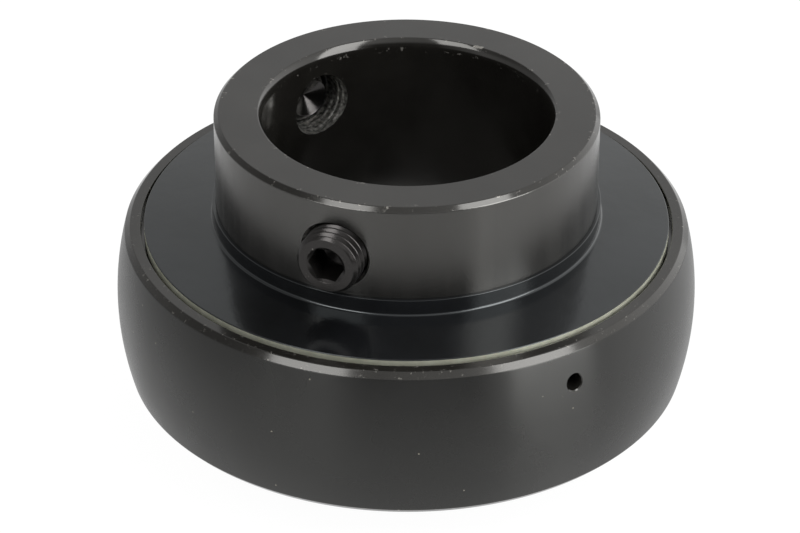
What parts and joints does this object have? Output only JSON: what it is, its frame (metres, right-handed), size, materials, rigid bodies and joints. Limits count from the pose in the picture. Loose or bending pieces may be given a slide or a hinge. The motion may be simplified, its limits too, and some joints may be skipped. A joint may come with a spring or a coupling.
{
  "type": "insert bearing",
  "caption": "Insert ball bearing with a wide inner ring, two set screws in its collar, flingers, riveted ribbon cage and a spherical outer seat with oil holes.",
  "frame": {"origin": "centre of the spherical seat, on the axis of the bore and in the plane of the ball centres", "axes": "+Z along the bore towards the collar with the set screws; the first set screw points along -Y"},
  "size_m": [0.072, 0.072, 0.0429],
  "materials": {
    "black_ring": "black oxide on ground and turned steel, satin",
    "ball_steel": "polished bearing steel",
    "cage_steel": "pressed steel strip",
    "seal_steel": "pressed steel",
    "seal_rubber": "moulded nitrile rubber, satin",
    "black_sheet": "black oxide on smooth sheet steel, glossy",
    "black_screw": "black oxide, satin"
  },
  "bodies": {
    "outer": {"outer_ring": "black_ring", "seal_core_upper": "seal_steel", "seal_core_lower": "seal_steel", "seal_lip_upper": "seal_rubber", "seal_lip_lower": "seal_rubber"},
    "inner": {"inner_ring": "black_ring", "flinger_upper": "black_sheet", "flinger_lower": "black_sheet"},
    "cage": {"cage_half_upper": "cage_steel", "cage_half_lower": "cage_steel", "cage_rivets": "cage_steel"},
    "ball_1": {"ball_1": "ball_steel"},
    "ball_2": {"ball_2": "ball_steel"},
    "ball_3": {"ball_3": "ball_steel"},
    "ball_4": {"ball_4": "ball_steel"},
    "ball_5": {"ball_5": "ball_steel"},
    "ball_6": {"ball_6": "ball_steel"},
    "ball_7": {"ball_7": "ball_steel"},
    "ball_8": {"ball_8": "ball_steel"},
    "ball_9": {"ball_9": "ball_steel"},
    "screw_1": {"set_screw_1": "black_screw"},
    "screw_2": {"set_screw_2": "black_screw"}
  },
  "joints": [
    {"name": "inner_spin", "type": "hinge", "parent": "outer", "child": "inner", "pos_m": [0, 0, 0], "axis": [0, 0, 1], "continuous": true},
    {"name": "cage_spin", "type": "hinge", "parent": "outer", "child": "cage", "pos_m": [0, 0, 0], "axis": [0, 0, 1], "continuous": true},
    {"name": "ball_1_spin", "type": "hinge", "parent": "cage", "child": "ball_1", "pos_m": [0.02675, 0, 0], "axis": [0, 0, 1], "continuous": true},
    {"name": "ball_2_spin", "type": "hinge", "parent": "cage", "child": "ball_2", "pos_m": [0.02049, 0.01719, 0], "axis": [0, 0, 1], "continuous": true},
    {"name": "ball_3_spin", "type": "hinge", "parent": "cage", "child": "ball_3", "pos_m": [0.00465, 0.02634, 0], "axis": [0, 0, 1], "continuous": true},
    {"name": "ball_4_spin", "type": "hinge", "parent": "cage", "child": "ball_4", "pos_m": [-0.01337, 0.02317, 0], "axis": [0, 0, 1], "continuous": true},
    {"name": "ball_5_spin", "type": "hinge", "parent": "cage", "child": "ball_5", "pos_m": [-0.02514, 0.00915, 0], "axis": [0, 0, 1], "continuous": true},
    {"name": "ball_6_spin", "type": "hinge", "parent": "cage", "child": "ball_6", "pos_m": [-0.02514, -0.00915, 0], "axis": [0, 0, 1], "continuous": true},
    {"name": "ball_7_spin", "type": "hinge", "parent": "cage", "child": "ball_7", "pos_m": [-0.01337, -0.02317, 0], "axis": [0, 0, 1], "continuous": true},
    {"name": "ball_8_spin", "type": "hinge", "parent": "cage", "child": "ball_8", "pos_m": [0.00465, -0.02634, 0], "axis": [0, 0, 1], "continuous": true},
    {"name": "ball_9_spin", "type": "hinge", "parent": "cage", "child": "ball_9", "pos_m": [0.02049, -0.01719, 0], "axis": [0, 0, 1], "continuous": true},
    {"name": "screw_1_travel", "type": "slide", "parent": "inner", "child": "screw_1", "axis": [0, -1, 0], "range_m": [-0.0005, 0.00345]},
    {"name": "screw_2_travel", "type": "slide", "parent": "inner", "child": "screw_2", "axis": [-0.866, 0.5, 0], "range_m": [-0.0021, 0.00185]}
  ],
  "couplings": [
    {"joint": "cage_spin", "follows": "inner_spin", "ratio": 0.39615},
    {"joint": "ball_1_spin", "follows": "inner_spin", "ratio": -2.3035},
    {"joint": "ball_2_spin", "follows": "inner_spin", "ratio": -2.3035},
    {"joint": "ball_3_spin", "follows": "inner_spin", "ratio": -2.3035},
    {"joint": "ball_4_spin", "follows": "inner_spin", "ratio": -2.3035},
    {"joint": "ball_5_spin", "follows": "inner_spin", "ratio": -2.3035},
    {"joint": "ball_6_spin", "follows": "inner_spin", "ratio": -2.3035},
    {"joint": "ball_7_spin", "follows": "inner_spin", "ratio": -2.3035},
    {"joint": "ball_8_spin", "follows": "inner_spin", "ratio": -2.3035},
    {"joint": "ball_9_spin", "follows": "inner_spin", "ratio": -2.3035}
  ]
}
